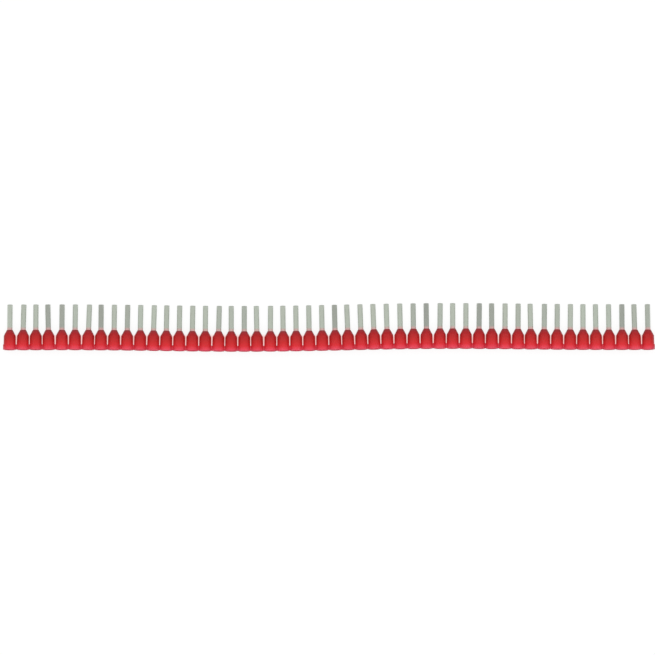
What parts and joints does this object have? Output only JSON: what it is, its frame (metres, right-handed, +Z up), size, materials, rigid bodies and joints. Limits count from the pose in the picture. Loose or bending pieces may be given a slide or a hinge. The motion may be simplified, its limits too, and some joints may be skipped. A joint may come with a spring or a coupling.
{
  "type": "wire ferrule strip",
  "caption": "Strip of insulated wire ferrules: bare tinned copper tubes in red plastic collars that are linked side by side at their mouths.",
  "frame": {"origin": "on the ground, under the middle of the strip's bounding box", "axes": "+X along the strip, +Y from the collars' mouths to the tips of the tubes, +Z up"},
  "size_m": [0.21, 0.0158, 0.0044],
  "materials": {
    "collar_plastic": "slightly translucent red polypropylene, satin",
    "tinned_copper": "dull tin plating with faint drawing lines along the tube"
  },
  "bodies": {
    "root": {"collar_strip": "collar_plastic", "sleeve_01": "tinned_copper", "sleeve_02": "tinned_copper", "sleeve_03": "tinned_copper", "sleeve_04": "tinned_copper", "sleeve_05": "tinned_copper", "sleeve_06": "tinned_copper", "sleeve_07": "tinned_copper", "sleeve_08": "tinned_copper", "sleeve_09": "tinned_copper", "sleeve_10": "tinned_copper", "sleeve_11": "tinned_copper", "sleeve_12": "tinned_copper", "sleeve_13": "tinned_copper", "sleeve_14": "tinned_copper", "sleeve_15": "tinned_copper", "sleeve_16": "tinned_copper", "sleeve_17": "tinned_copper", "sleeve_18": "tinned_copper", "sleeve_19": "tinned_copper", "sleeve_20": "tinned_copper", "sleeve_21": "tinned_copper", "sleeve_22": "tinned_copper", "sleeve_23": "tinned_copper", "sleeve_24": "tinned_copper", "sleeve_25": "tinned_copper", "sleeve_26": "tinned_copper", "sleeve_27": "tinned_copper", "sleeve_28": "tinned_copper", "sleeve_29": "tinned_copper", "sleeve_30": "tinned_copper", "sleeve_31": "tinned_copper", "sleeve_32": "tinned_copper", "sleeve_33": "tinned_copper", "sleeve_34": "tinned_copper", "sleeve_35": "tinned_copper", "sleeve_36": "tinned_copper", "sleeve_37": "tinned_copper", "sleeve_38": "tinned_copper", "sleeve_39": "tinned_copper", "sleeve_40": "tinned_copper", "sleeve_41": "tinned_copper", "sleeve_42": "tinned_copper", "sleeve_43": "tinned_copper", "sleeve_44": "tinned_copper", "sleeve_45": "tinned_copper", "sleeve_46": "tinned_copper", "sleeve_47": "tinned_copper", "sleeve_48": "tinned_copper", "sleeve_49": "tinned_copper", "sleeve_50": "tinned_copper"}
  },
  "joints": []
}
